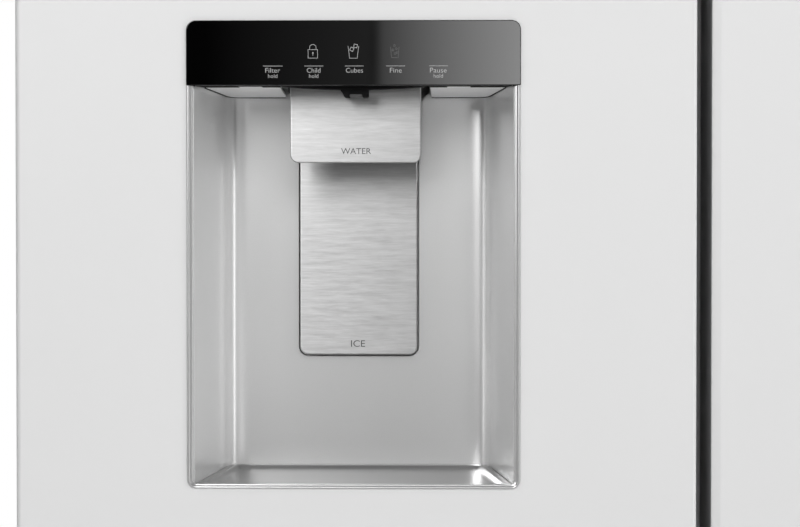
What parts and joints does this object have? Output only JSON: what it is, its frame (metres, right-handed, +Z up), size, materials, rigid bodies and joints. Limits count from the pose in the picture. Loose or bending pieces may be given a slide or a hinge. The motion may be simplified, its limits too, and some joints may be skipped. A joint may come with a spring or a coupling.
{
  "type": "side by side refrigerator",
  "caption": "Free-standing side by side refrigerator, white, with an ice and water dispenser recessed in the freezer door.",
  "frame": {"origin": "centre of the footprint, on the floor", "axes": "+Z up, doors face -Y, freezer on the -X side, fresh food on the +X side"},
  "size_m": [0.914, 0.839, 1.775],
  "materials": {
    "door_paint": "smooth white enamel, semi-gloss",
    "case_paint": "white enamel with a fine orange-peel texture",
    "galvanised": "galvanised sheet steel",
    "foam": "rigid polyurethane foam, cut surface",
    "liner": "vacuum-formed white plastic",
    "silver": "silver metallic moulding, semi-gloss",
    "brushed": "horizontally brushed",
    "black_glass": "gloss black control glass",
    "black_plastic": "satin black",
    "grey_plastic": "satin dark grey",
    "gasket": "soft grey magnetic seal",
    "clear_plastic": "clear moulded plastic",
    "shelf_glass": "tempered glass in a white frame",
    "motor_black": "black stoved paint",
    "aluminium": "mill finish",
    "white_plastic": "satin white"
  },
  "bodies": {
    "cabinet": {"outer_case": "case_paint", "insulation_foam": "foam", "freezer_liner": "liner", "fridge_liner": "liner", "back_panel": "galvanised", "base_frame": "galvanised", "toe_grille": "grey_plastic", "machine_cover": "galvanised", "compressor": "motor_black", "condenser": "motor_black", "condenser_fan_shroud": "grey_plastic", "water_valve": "white_plastic", "evaporator": "aluminium", "evaporator_cover": "white_plastic", "air_tower": "white_plastic", "ceiling_module": "white_plastic", "fridge_shelf_upper": "shelf_glass", "fridge_shelf_lower": "shelf_glass", "crisper_cover": "shelf_glass", "freezer_shelf_upper": "white_plastic", "freezer_shelf_lower": "white_plastic", "ice_maker": "white_plastic", "top_hinge_left": "white_plastic", "top_hinge_right": "white_plastic", "bottom_hinge_left": "galvanised", "bottom_hinge_right": "galvanised"},
    "freezer_door": {"freezer_door_skin": "door_paint", "freezer_door_liner": "liner", "freezer_door_gasket": "gasket", "freezer_grip": "grey_plastic", "freezer_bin_upper": "clear_plastic", "freezer_bin_lower": "clear_plastic", "dispenser_housing": "silver", "control_panel": "black_glass", "ice_chute": "black_plastic", "water_nozzle": "black_plastic"},
    "fridge_door": {"fridge_door_skin": "door_paint", "fridge_door_liner": "liner", "fridge_door_gasket": "gasket", "fridge_grip": "grey_plastic", "dairy_bin": "clear_plastic", "fridge_bin_middle": "clear_plastic", "fridge_bin_lower": "clear_plastic"},
    "dairy_cover_body": {"dairy_cover": "clear_plastic"},
    "water_paddle_body": {"water_paddle": "brushed"},
    "ice_paddle_body": {"ice_paddle": "brushed"},
    "chute_flap_body": {"chute_flap": "grey_plastic"},
    "drip_tray_body": {"drip_tray": "silver"},
    "freezer_basket_body": {"freezer_basket": "clear_plastic"},
    "crisper_upper_body": {"crisper_upper": "clear_plastic"},
    "crisper_lower_body": {"crisper_lower": "clear_plastic"},
    "ice_bucket_body": {"ice_bucket": "clear_plastic"},
    "auger_body": {"ice_auger": "aluminium"},
    "ice_arm_body": {"ice_maker_arm": "galvanised"},
    "filter_body": {"water_filter": "white_plastic"},
    "evaporator_fan_body": {"evaporator_fan_blade": "grey_plastic"},
    "condenser_fan_body": {"condenser_fan_blade": "grey_plastic"},
    "leg_left_body": {"leveling_leg_left": "grey_plastic"},
    "leg_right_body": {"leveling_leg_right": "grey_plastic"},
    "wheelset_body": {"rear_wheelset": "grey_plastic"}
  },
  "joints": [
    {"name": "freezer_door_hinge", "type": "hinge", "parent": "cabinet", "child": "freezer_door", "pos_m": [-0.435, -0.378, 0.088], "axis": [0, 0, -1], "range_deg": [0, 120]},
    {"name": "fridge_door_hinge", "type": "hinge", "parent": "cabinet", "child": "fridge_door", "pos_m": [0.435, -0.378, 0.088], "axis": [0, 0, 1], "range_deg": [0, 120]},
    {"name": "dairy_cover_hinge", "type": "hinge", "parent": "fridge_door", "child": "dairy_cover_body", "pos_m": [0.193, -0.2315, 1.577], "axis": [1, 0, 0], "range_deg": [0, 80]},
    {"name": "water_paddle_hinge", "type": "hinge", "parent": "freezer_door", "child": "water_paddle_body", "pos_m": [-0.259, -0.389, 1.184], "axis": [1, 0, 0], "range_deg": [0, 8], "stiffness_Nm_per_rad": 0.6},
    {"name": "ice_paddle_hinge", "type": "hinge", "parent": "freezer_door", "child": "ice_paddle_body", "pos_m": [-0.259, -0.344, 1.184], "axis": [1, 0, 0], "range_deg": [0, 3.7], "stiffness_Nm_per_rad": 1.5},
    {"name": "chute_flap_hinge", "type": "hinge", "parent": "freezer_door", "child": "chute_flap_body", "pos_m": [-0.259, -0.306, 1.2415], "axis": [-1, 0, 0], "range_deg": [0, 75]},
    {"name": "drip_tray_lift", "type": "slide", "parent": "freezer_door", "child": "drip_tray_body", "axis": [0, 0, 1], "range_m": [0, 0.02]},
    {"name": "freezer_basket_slide", "type": "slide", "parent": "cabinet", "child": "freezer_basket_body", "axis": [0, -1, 0], "range_m": [0, 0.12]},
    {"name": "crisper_upper_slide", "type": "slide", "parent": "cabinet", "child": "crisper_upper_body", "axis": [0, -1, 0], "range_m": [0, 0.12]},
    {"name": "crisper_lower_slide", "type": "slide", "parent": "cabinet", "child": "crisper_lower_body", "axis": [0, -1, 0], "range_m": [0, 0.12]},
    {"name": "ice_bucket_slide", "type": "slide", "parent": "cabinet", "child": "ice_bucket_body", "axis": [0, -1, 0], "range_m": [0, 0.034]},
    {"name": "auger_spin", "type": "hinge", "parent": "ice_bucket_body", "child": "auger_body", "pos_m": [-0.259, 0, 1.301], "axis": [0, 1, 0], "continuous": true},
    {"name": "ice_arm_hinge", "type": "hinge", "parent": "cabinet", "child": "ice_arm_body", "pos_m": [-0.298, 0, 1.568], "axis": [0, -1, 0], "range_deg": [0, 30]},
    {"name": "filter_slide", "type": "slide", "parent": "cabinet", "child": "filter_body", "axis": [0, -1, 0], "range_m": [0, 0.08]},
    {"name": "evaporator_fan_spin", "type": "hinge", "parent": "cabinet", "child": "evaporator_fan_body", "pos_m": [-0.241, 0.29, 1.06], "axis": [0, 1, 0], "continuous": true},
    {"name": "condenser_fan_spin", "type": "hinge", "parent": "cabinet", "child": "condenser_fan_body", "pos_m": [0.114, 0.295, 0.15], "axis": [1, 0, 0], "continuous": true},
    {"name": "leg_left_screw", "type": "slide", "parent": "cabinet", "child": "leg_left_body", "axis": [0, 0, -1], "range_m": [0, 0.012]},
    {"name": "leg_right_screw", "type": "slide", "parent": "cabinet", "child": "leg_right_body", "axis": [0, 0, -1], "range_m": [0, 0.012]},
    {"name": "rear_wheels_roll", "type": "hinge", "parent": "cabinet", "child": "wheelset_body", "pos_m": [0, 0.345, 0.017], "axis": [1, 0, 0], "continuous": true}
  ],
  "couplings": [
    {"joint": "chute_flap_hinge", "follows": "ice_paddle_hinge", "ratio": 20}
  ]
}
